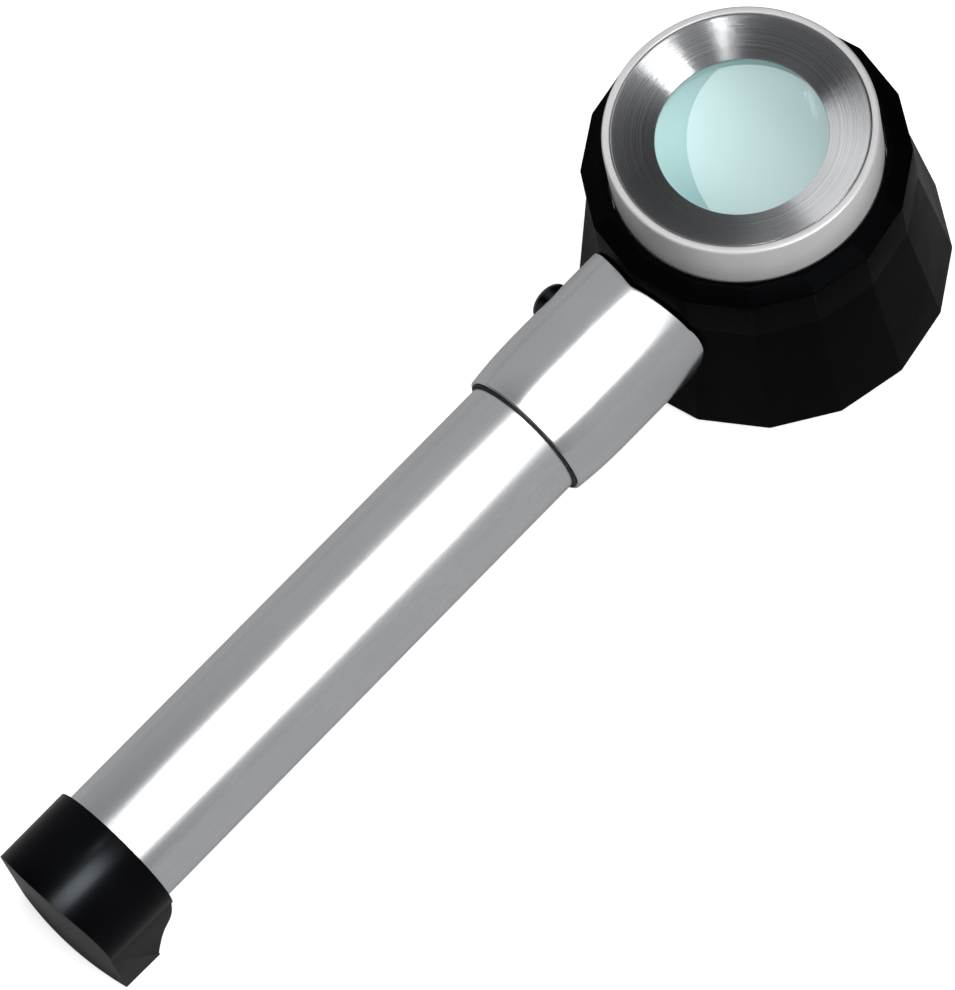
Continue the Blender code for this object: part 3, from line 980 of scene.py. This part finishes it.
def add_world():
    """A grey studio: a soft bright band overhead, dark either side, pale again behind."""
    world = bpy.data.worlds.new("studio")
    bpy.context.scene.world = world
    world.use_nodes = True
    tree = world.node_tree
    background = tree.nodes["Background"]
    background.inputs["Color"].default_value = (0.97, 0.98, 1.0, 1.0)
    coords = tree.nodes.new("ShaderNodeTexCoord")
    split = tree.nodes.new("ShaderNodeSeparateXYZ")
    tree.links.new(coords.outputs["Generated"], split.inputs["Vector"])
    offset = tree.nodes.new("ShaderNodeMath")
    offset.operation = "SUBTRACT"
    offset.inputs[1].default_value = STRIPE_MIDDLE
    tree.links.new(split.outputs["Y"], offset.inputs[0])
    away = tree.nodes.new("ShaderNodeMath")
    away.operation = "ABSOLUTE"
    tree.links.new(offset.outputs[0], away.inputs[0])
    band = map_strength(tree, away.outputs[0], 0.10, 0.48, 0.44, 0.02)
    behind = map_strength(tree, split.outputs["Y"], -0.78, -0.54, 0.34, 0.0)
    total = tree.nodes.new("ShaderNodeMath")
    total.operation = "ADD"
    tree.links.new(band, total.inputs[0])
    tree.links.new(behind, total.inputs[1])
    tree.links.new(total.outputs[0], background.inputs["Strength"])
    white = tree.nodes.new("ShaderNodeBackground")
    white.inputs["Color"].default_value = (1.0, 1.0, 1.0, 1.0)
    path = tree.nodes.new("ShaderNodeLightPath")
    pick = tree.nodes.new("ShaderNodeMixShader")
    tree.links.new(path.outputs["Is Camera Ray"], pick.inputs[0])
    tree.links.new(background.outputs[0], pick.inputs[1])
    tree.links.new(white.outputs[0], pick.inputs[2])
    tree.links.new(pick.outputs[0], tree.nodes["World Output"].inputs["Surface"])


def light_only(light, pieces, state):
    """Let a light reach only some pieces (INCLUDE), or all but them (EXCLUDE)."""
    group = bpy.data.collections.new(light.name + "_receivers")
    for piece in pieces:
        group.objects.link(piece)
    for entry in group.collection_objects:
        entry.light_linking.link_state = state
    light.light_linking.receiver_collection = group


def shine_through(light, blockers):
    """Let nothing but the named pieces shade a light."""
    group = bpy.data.collections.new(light.name + "_blockers")
    for piece in blockers:
        group.objects.link(piece)
    light.light_linking.blocker_collection = group


def add_lights(lens, barrel, bezel, housing, cap):
    head = (0.0, 0.0, 0.036)
    key = add_panel("key_strip", (0.36, 0.10, 0.92), 2.4, (3.85, 0.95), 3.4)
    core = add_panel("cap_strip", (0.36, -0.05, 0.93), 2.4, (1.0, 0.80), 32.0)
    wedge = add_panel("dish_panel", (0.50, 0.24, 0.83), 0.5, (0.16, 0.15), 9.0, head)
    left = add_panel("left_panel", (-0.79, -0.02, 0.54), 0.22, (0.09, 0.20), 1.6, head)
    top = add_panel("top_spot", (0.0, 0.0, 1.0), 0.6, (0.03, 0.03), 75.0, head, shape="DISK")
    fill = add_panel("barrel_fill", (0.90, -0.12, 0.42), 0.5, (0.35, 0.25), 6.4, head)
    disc = add_panel("lens_disc", (0.11, 0.67, 0.82), 0.30, (0.86, 0.86), 1.25, head,
                     shape="DISK")
    wash = add_panel("lens_wash", (-0.66, -0.54, 0.62), 0.034, (0.012, 0.012), 16.0, head)
    wash.visible_glossy = False
    disc.visible_diffuse = False
    # the rings round the lens neither shade these two lights nor show in the glass
    shine_through(disc, [lens])
    shine_through(wash, [lens])
    bezel.visible_glossy = False
    barrel.visible_glossy = False
    light_only(key, [lens, bezel, cap], "EXCLUDE")
    light_only(core, [cap], "INCLUDE")
    light_only(wedge, [bezel], "INCLUDE")
    light_only(top, [lens], "EXCLUDE")
    light_only(left, [barrel, bezel, housing], "INCLUDE")
    light_only(fill, [barrel], "INCLUDE")
    light_only(disc, [lens], "INCLUDE")
    light_only(wash, [lens], "INCLUDE")


def main():
    scene = bpy.context.scene
    scene.view_settings.view_transform = "Standard"
    black = moulded_black("black_plastic", 0.02)
    metal = satin_metal("satin_aluminium", (0.68, 0.69, 0.705), (0.77, 0.775, 0.78), 0.16, 0.22)
    housing = make_housing(black)
    barrel = make_barrel(satin_metal("anodised_aluminium", (0.57, 0.56, 0.565),
                                     (0.66, 0.645, 0.65), 0.40, 0.50, metallic=0.5))
    bezel = make_bezel(turned_metal())
    glass = inner_glass()
    eye_lens = make_lenses(lens_glass_with_painted_glow(), glass)
    make_collar(metal)
    seal = rubber()
    button = moulded_black("button_plastic", 0.5, 0.18, 0.26, 1500.0, 0.04)
    make_handle(drawn_tube(), seal, button)
    cap = make_cap(moulded_black("cap_plastic", 0.07, 0.21, 0.28, 2200.0, 0.08))
    make_scale(ink())
    finish_nodes({
        "black_plastic": black,
        "satin_aluminium": metal,
        "reticle_metal": satin_metal("reticle_metal", (0.52, 0.52, 0.54), (0.66, 0.66, 0.68),
                                     0.34, 0.46),
        "reticle_glass": reticle_material(),
        "dull_black": dull_black(),
        "seal_rubber": seal,
        "contact_brass": plated("contact_brass", (0.68, 0.48, 0.18), (0.82, 0.62, 0.28)),
        "board": board_material(),
        "switch_plastic": plain_plastic("switch_plastic", (0.015, 0.015, 0.016),
                                        (0.035, 0.035, 0.037)),
        "liner_plastic": plain_plastic("liner_plastic", (0.22, 0.23, 0.24), (0.32, 0.33, 0.34)),
        "battery_wrap": battery_sleeve(),
        "spring_steel": plated("spring_steel", (0.50, 0.51, 0.52), (0.66, 0.67, 0.68)),
        "screw_steel": plated("screw_steel", (0.42, 0.43, 0.44), (0.58, 0.59, 0.60)),
        "led_resin": lamp_resin(),
    })
    add_floor()
    add_world()
    add_lights(eye_lens, barrel, bezel, housing, cap)
    add_camera()


main()
